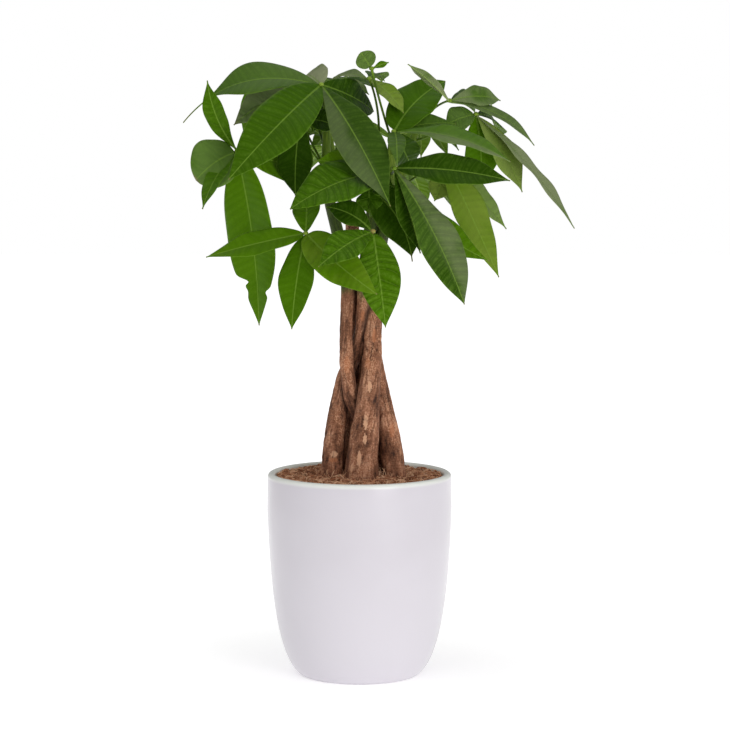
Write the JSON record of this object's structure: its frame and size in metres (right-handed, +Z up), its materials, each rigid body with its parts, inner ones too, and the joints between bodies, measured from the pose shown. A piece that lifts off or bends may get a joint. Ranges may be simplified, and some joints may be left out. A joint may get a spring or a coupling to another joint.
{
  "type": "potted money tree",
  "caption": "Braided-trunk money tree with palmate compound leaves, standing in a plain rounded white ceramic pot topped with coir mulch.",
  "frame": {"origin": "centre of the pot's flat underside, where the pot stands on a surface", "axes": "+Z up along the pot's axis, -Y towards the viewer of the picture, +X to the viewer's right"},
  "size_m": [0.3214, 0.242, 0.5176],
  "materials": {
    "pot_glaze": "satin",
    "soil": "matte",
    "coir": "matte",
    "bark": "matte",
    "leaf": "satin"
  },
  "bodies": {
    "root": {"leaf_back_centre": "leaf", "leaf_centre": "leaf", "leaf_centre_low": "leaf", "leaf_far_left": "leaf", "leaf_far_right": "leaf", "leaf_front_low": "leaf", "leaf_left_back": "leaf", "leaf_left_inner": "leaf", "leaf_lower_left": "leaf", "leaf_rear_left": "leaf", "leaf_rear_low_left": "leaf", "leaf_rear_low_right": "leaf", "leaf_rear_middle": "leaf", "leaf_rear_right": "leaf", "leaf_right_front": "leaf", "leaf_right_high": "leaf", "leaf_right_low": "leaf", "leaf_right_upper": "leaf", "leaf_top": "leaf", "leaf_upper_left": "leaf", "leaf_young": "leaf", "mulch": "coir", "pot": "pot_glaze", "soil": "soil", "stem_1": "bark", "stem_2": "bark", "stem_3": "bark", "stem_4": "bark", "stem_5": "bark"}
  },
  "joints": []
}
